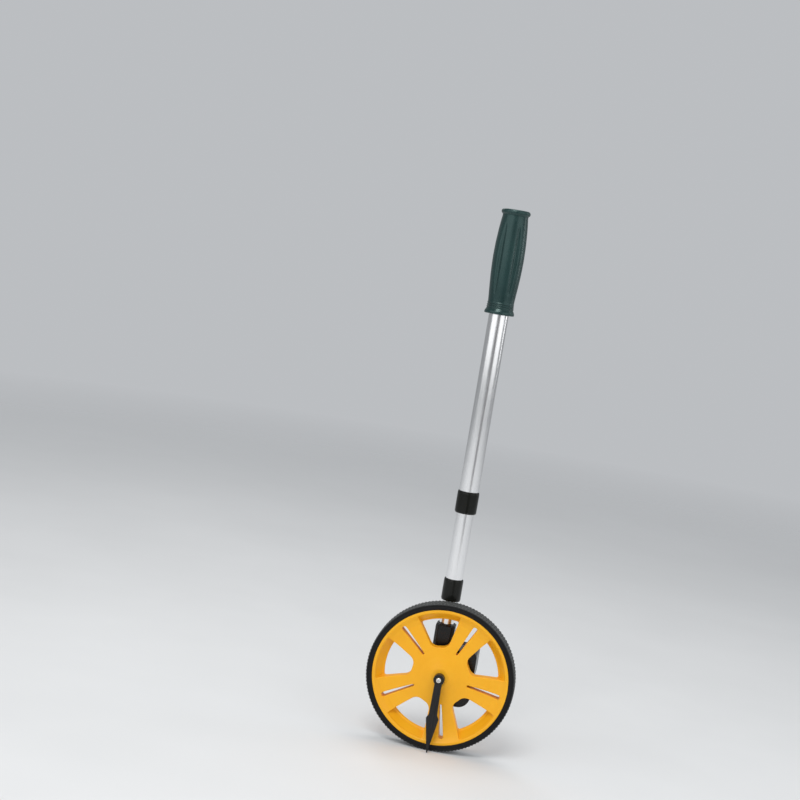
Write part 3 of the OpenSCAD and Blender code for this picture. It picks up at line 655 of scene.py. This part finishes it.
def build_grip():
    z0, z1 = z_span("grip")
    length = z1 - z0
    bore = TOP_R + 0.04
    bore_end = z_span("tube_plug")[1] + 0.02 - z0
    outline = GRIP_OUTLINE + [(length, GRIP_END_R)]
    stations = []
    for (h0, r0), (h1, r1) in zip(outline, outline[1:]):
        steps = max(1, int((h1 - h0) / GRIP_STATION))
        for i in range(steps):
            stations.append((h0 + (h1 - h0) * i / steps, r0 + (r1 - r0) * i / steps))
    stations.append(outline[-1])

    def fullness(h):
        """The barrel is fuller than its outline, most at its middle."""
        share = min(1.0, max(0.0, (h - 4.0) / 102.0))
        return 1.03 + 0.09 * math.sin(math.pi * share) ** 0.6

    def flutes(r, z, turn):
        share = (z - z0 - FLUTE_FROM) / (FLUTE_TO - FLUTE_FROM)
        if r > bore + 1.0 and 0 < share < 1:
            swell = math.sin(math.pi * share) ** 0.55
            across = turn % FLUTE_PITCH
            across = min(across, FLUTE_PITCH - across)
            across /= FLUTE_HALF_WIDTH * (0.35 + 0.65 * swell)
            if across < 1:
                r -= FLUTE_DEPTH * swell * math.cos(across * math.pi / 2) ** 1.5
        return r, z

    profile = [(r * fullness(h), h) for h, r in stations]
    # closed end, with a shallow moulded step
    profile += [(13.0, length), (11.2, length), (10.9, length - 0.25), (2.6, length - 0.25),
                (2.3, length - 0.45), (0.0, length - 0.45)]
    # the bore, from its closed end back down to the mouth
    profile += [(0.0, bore_end), (bore - 0.4, bore_end), (bore, bore_end - 0.4), (bore, 40.0),
                (bore, 1.2), (bore + 0.35, 0.4), (bore + 1.0, 0.0)]
    return revolve("grip_moulded", [(r, z0 + h) for r, h in profile], "Z", (SHAFT_X, SHAFT_Y),
                   seg=192, shape=flutes, angle=50.0)


piece(build_grip(), "top_section", "grip_pvc", "grip")

# ------------------------------------------------------------------ drum figures
# CAD node and body of each drum, from front to back
DRUMS = (
    ("drum_thousands", "thousands_drum"), ("drum_hundreds", "hundreds_drum"),
    ("drum_tens", "tens_drum"), ("drum_metres", "metres_drum"), ("drum_tenths", "unit_shaft"),
)
DRUM_PITCH = 6.2
FIRST_FIGURE_Y = 23.4 + 2.0         # centre of the first drum's figures
FIGURE_HEIGHT, FIGURE_WIDTH = 4.3, 2.5
FIGURE_STRETCH = 1.15               # most a narrow figure is widened
FIGURE_LIFT, FIGURE_THICK = 0.02, 0.05


def digit_mesh(digit):
    """A text digit, one unit thick."""
    curve = bpy.data.curves.new("digit", "FONT")
    curve.body, curve.size, curve.extrude, curve.resolution_u = str(digit), 1.0, 0.5, 4
    ob = bpy.data.objects.new("digit", curve)
    scene.collection.objects.link(ob)
    mesh = evaluated_mesh(ob)
    bpy.data.objects.remove(ob)
    return mesh


def build_figures(node, body, y_middle):
    """The digits 0 to 9 wrapped round a drum."""
    radius = node_radius(node)
    verts, faces = [], []
    for digit in range(10):
        mesh = digit_mesh(digit)
        points = [v.co.copy() for v in mesh.vertices]
        x0, x1 = min(p.x for p in points), max(p.x for p in points)
        y0, y1 = min(p.y for p in points), max(p.y for p in points)
        y_scale = FIGURE_HEIGHT / (y1 - y0)
        x_scale = min(FIGURE_WIDTH / (x1 - x0), y_scale * FIGURE_STRETCH)
        first = len(verts)
        for p in points:
            across, up = (p.x - (x0 + x1) / 2) * x_scale, (p.y - (y0 + y1) / 2) * y_scale
            turn = up / radius + math.radians(36) * digit
            r = radius + (FIGURE_LIFT + FIGURE_THICK * (p.z + 0.5))
            verts.append((DRUM_X - r * math.sin(turn), y_middle + across,
                          DRUM_Z + r * math.cos(turn)))
        faces += [[first + i for i in face.vertices] for face in mesh.polygons]
        bpy.data.meshes.remove(mesh)
    ob = make("figures_" + node, verts, faces, 30.0)
    paint(ob, WHITE_INK)
    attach(ob, body)


for k, (node, body) in enumerate(DRUMS):
    build_figures(node, body, FIRST_FIGURE_Y + DRUM_PITCH * k)

# ------------------------------------------------------------------ studio
FLOOR_HALF, FLOOR_Z = 6000.0, -79.6


def build_floor():
    """Pale paper that fades out with distance and can't be seen from below."""
    s = FLOOR_HALF
    ob = make("floor", [(x, y, FLOOR_Z) for x, y in ((-s, -s), (s, -s), (s, s), (-s, s))],
              [[0, 1, 2, 3]])
    if ob.data.polygons[0].normal.z < 0:
        ob.data.flip_normals()
    m = Mat("floor_paper")
    m.set(Base_Color=m.mix(m.mottle(scale=3.0, detail=3.0),
                           (0.76, 0.77, 0.78), (0.80, 0.81, 0.82)),
          Roughness=0.75)
    geometry = m.node("ShaderNodeNewGeometry").outputs
    fade = m.ramp(m.distance(geometry["Position"], "X", "Y"), band=(0.5, 3.2))
    m.see_through(m.math("MAXIMUM", fade, geometry["Backfacing"]))
    paint(ob, m.material)


def build_world():
    """One grey for the camera and a dimmer, cooler light for everything else."""
    world = bpy.data.worlds.new("studio")
    scene.world = world
    world.use_nodes = True
    nodes, links = world.node_tree.nodes, world.node_tree.links
    nodes.clear()
    output = nodes.new("ShaderNodeOutputWorld")
    shaders = []
    for color, strength in (((0.50, 0.515, 0.535, 1), 1.0), ((0.94, 0.97, 1.0, 1), 0.34)):
        background = nodes.new("ShaderNodeBackground")
        background.inputs[0].default_value = color
        background.inputs[1].default_value = strength
        shaders.append(background.outputs[0])
    seen, lit = shaders
    path, mixed = nodes.new("ShaderNodeLightPath"), nodes.new("ShaderNodeMixShader")
    links.new(path.outputs["Is Camera Ray"], mixed.inputs[0])
    links.new(lit, mixed.inputs[1])
    links.new(seen, mixed.inputs[2])
    links.new(mixed.outputs[0], output.inputs[0])


LIGHT_AIM = Vector((0.0, 0.0, 0.2))
# name, azimuth from the front (towards -X is positive) and elevation in degrees,
# distance, width, height, radiance, colour
WHITE = (1, 1, 1)
PANELS = (
    ("side_left", 38, 20, 2.0, 2.4, 1.5, 0.98, WHITE),
    ("side_right", -54, 19, 2.0, 2.1, 1.5, 0.98, WHITE),
    ("key", 12, 52, 2.4, 1.0, 0.8, 9.0, (1.0, 0.985, 0.96)),
    ("overhead", 180, 78, 1.9, 1.3, 0.9, 2.8, WHITE),
    ("rim_right", -112, 20, 1.8, 0.30, 1.15, 2.2, WHITE),
    ("rim_left", 150, 40, 1.8, 0.5, 0.9, 2.0, WHITE),
)


def add_panel(name, azimuth, elevation, distance, width, height, radiance, color):
    """A softbox facing the aim point, its power set by the wanted radiance."""
    a, e = math.radians(azimuth), math.radians(elevation)
    away = Vector((-math.sin(a) * math.cos(e), -math.cos(a) * math.cos(e), math.sin(e)))
    light = bpy.data.lights.new(name, "AREA")
    light.shape, light.size, light.size_y = "RECTANGLE", width, height
    light.energy, light.color = radiance * math.pi * width * height, color
    ob = bpy.data.objects.new(name, light)
    scene.collection.objects.link(ob)
    ob.location = LIGHT_AIM + away * distance
    ob.rotation_mode = "QUATERNION"
    ob.rotation_quaternion = (-away).to_track_quat("-Z", "Y")
    ob.visible_camera = False


FLAG_AZIMUTH, FLAG_DISTANCE, FLAG_HALF_WIDTH = math.radians(-18), 680.0, 150.0
FLAG_Z0, FLAG_Z1 = -76, 900


def build_flag():
    """A grey card in front, towards +X, seen only in reflections: it draws the darker line
    down the bright tubes."""
    sin, cos = math.sin(FLAG_AZIMUTH), math.cos(FLAG_AZIMUTH)
    centre = Vector((-FLAG_DISTANCE * sin, -FLAG_DISTANCE * cos, 0))
    half = Vector((cos, -sin, 0)) * FLAG_HALF_WIDTH
    a, b = centre - half, centre + half
    ob = make("flag", [(a.x, a.y, FLAG_Z0), (b.x, b.y, FLAG_Z0),
                       (b.x, b.y, FLAG_Z1), (a.x, a.y, FLAG_Z1)], [[0, 1, 2, 3]])
    m = Mat("flag_card", surface="ShaderNodeEmission")
    m.set(Color=m.mix(m.mottle(scale=4.0, detail=2.0), (0.20, 0.20, 0.205), (0.24, 0.24, 0.245)))
    paint(ob, m.material)
    ob.visible_camera = ob.visible_diffuse = ob.visible_shadow = False
    ob.visible_transmission = ob.visible_volume_scatter = False


build_floor()
build_world()
for panel in PANELS:
    add_panel(*panel)
build_flag()

# ------------------------------------------------------------------ camera
EYE, AIM = Vector((0.1073, -1.5052, 0.4149)), Vector((-0.0889, -0.0167, 0.2844))
ROLL = math.radians(9.35)


def build_camera():
    data = bpy.data.cameras.new("camera")
    camera = bpy.data.objects.new("camera", data)
    scene.collection.objects.link(camera)
    scene.camera = camera
    data.sensor_width, data.lens = 36.0, 65.0
    data.clip_start, data.clip_end = 0.05, 50.0
    forward = (AIM - EYE).normalized()
    level = forward.cross(Vector((0, 0, 1))).normalized()
    upright = level.cross(forward).normalized()
    right = level * math.cos(ROLL) + upright * math.sin(ROLL)
    up = right.cross(forward).normalized()
    axes = Matrix((right, up, -forward)).transposed().to_4x4()
    camera.matrix_world = Matrix.Translation(EYE) @ axes


build_camera()
